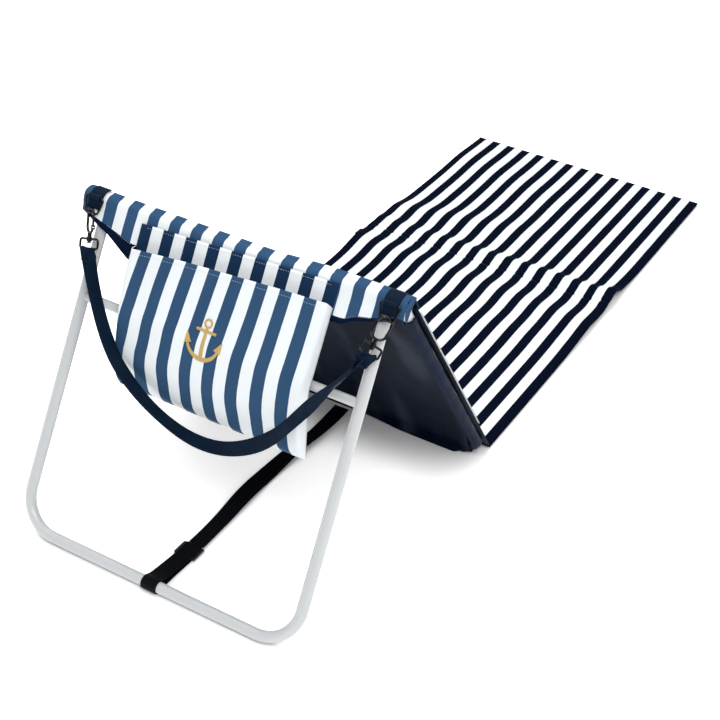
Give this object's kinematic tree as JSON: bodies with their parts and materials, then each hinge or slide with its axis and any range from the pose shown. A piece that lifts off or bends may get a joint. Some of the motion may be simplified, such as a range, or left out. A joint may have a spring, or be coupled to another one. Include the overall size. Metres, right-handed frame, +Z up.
{
  "type": "folding mat lounger",
  "caption": "Folding beach lounger: padded striped mat in two hinged halves, reclined back on a tubular A-frame, rear pouch, carry strap and floor strap.",
  "frame": {"origin": "on the ground under the middle of the whole lounger, set up for sitting", "axes": "+X across the mat, +Y from the backrest towards the foot end, +Z up from the ground"},
  "size_m": [0.5072, 1.5172, 0.4475],
  "materials": {
    "striped_canvas": "woven polyester canvas printed in navy and white stripes",
    "foam": "soft closed-cell foam",
    "navy_lining": "dark navy coated polyester lining with a soft sheen",
    "navy_webbing": "ribbed navy polypropylene webbing",
    "black_webbing": "ribbed black polypropylene webbing",
    "white_tube": "satin white powder coat on steel tube",
    "tube_plug": "moulded white plastic",
    "rivet_steel": "zinc plated",
    "washer_nylon": "moulded nylon",
    "gunmetal": "black nickel plating, polished",
    "black_plastic": "moulded black plastic",
    "gold_thread": "satin stitched gold thread"
  },
  "bodies": {
    "seat": {"seat_cover": "striped_canvas", "seat_foam": "foam", "seam_hinge": "striped_canvas", "closure_tab": "black_webbing"},
    "foot": {"foot_cover": "striped_canvas", "foot_foam": "foam"},
    "backrest": {"back_frame": "white_tube", "back_caps": "tube_plug", "back_cover": "striped_canvas", "back_foam": "foam", "back_backing": "navy_lining", "side_sleeves": "navy_lining", "floor_strap": "black_webbing"},
    "legs": {"leg_frame": "white_tube", "leg_domes": "tube_plug", "top_bar": "white_tube", "crossbar": "white_tube", "pivot_rivets": "rivet_steel", "pivot_washers": "washer_nylon", "hood": "striped_canvas", "pouch_back": "striped_canvas", "pouch_front": "striped_canvas", "anchor_motif": "gold_thread", "ring_loops": "navy_webbing", "eye_left": "gunmetal", "eye_right": "gunmetal", "carry_strap": "navy_webbing", "carry_slider": "black_plastic", "floor_strap_loop": "black_webbing", "floor_slider": "black_plastic"},
    "ring_left": {"d_ring_left": "gunmetal"},
    "ring_right": {"d_ring_right": "gunmetal"},
    "hook_left": {"hook_left": "gunmetal"},
    "hook_right": {"hook_right": "gunmetal"},
    "gate_left": {"gate_left": "gunmetal"},
    "gate_right": {"gate_right": "gunmetal"}
  },
  "joints": [
    {"name": "foot_fold", "type": "hinge", "parent": "seat", "child": "foot", "pos_m": [0, 0.2777, 0.012], "axis": [1, 0, 0], "range_deg": [0, 175]},
    {"name": "back_fold", "type": "hinge", "parent": "seat", "child": "backrest", "pos_m": [0, -0.20692, 0.0083], "axis": [1, 0, 0], "range_deg": [-120, 0]},
    {"name": "leg_fold", "type": "hinge", "parent": "backrest", "child": "legs", "pos_m": [0, -0.53943, 0.4299], "axis": [-1, 0, 0], "range_deg": [-50, 0], "deforming": ["floor_strap"]},
    {"name": "ring_swing_left", "type": "hinge", "parent": "legs", "child": "ring_left", "pos_m": [-0.227, -0.55503, 0.44209], "axis": [1, 0, 0], "range_deg": [-1, 1]},
    {"name": "hook_swivel_left", "type": "hinge", "parent": "legs", "child": "hook_left", "pos_m": [-0.227, -0.56476, 0.42258], "axis": [-0.2079, 0.4364, 0.8754], "range_deg": [-3, 3]},
    {"name": "gate_left", "type": "hinge", "parent": "hook_left", "child": "gate_left", "pos_m": [-0.21557, -0.57629, 0.41106], "axis": [-0.5327, -0.8011, 0.2729], "range_deg": [0, 20], "stiffness_Nm_per_rad": 0.01, "springref_deg": -11.46},
    {"name": "ring_swing_right", "type": "hinge", "parent": "legs", "child": "ring_right", "pos_m": [0.227, -0.55503, 0.44209], "axis": [1, 0, 0], "range_deg": [-1, 1]},
    {"name": "hook_swivel_right", "type": "hinge", "parent": "legs", "child": "hook_right", "pos_m": [0.227, -0.56476, 0.42258], "axis": [0.2079, 0.4364, 0.8754], "range_deg": [-3, 3]},
    {"name": "gate_right", "type": "hinge", "parent": "hook_right", "child": "gate_right", "pos_m": [0.23115, -0.5685, 0.40347], "axis": [0.5327, -0.8011, 0.2729], "range_deg": [0, 20], "stiffness_Nm_per_rad": 0.01, "springref_deg": -11.46}
  ]
}
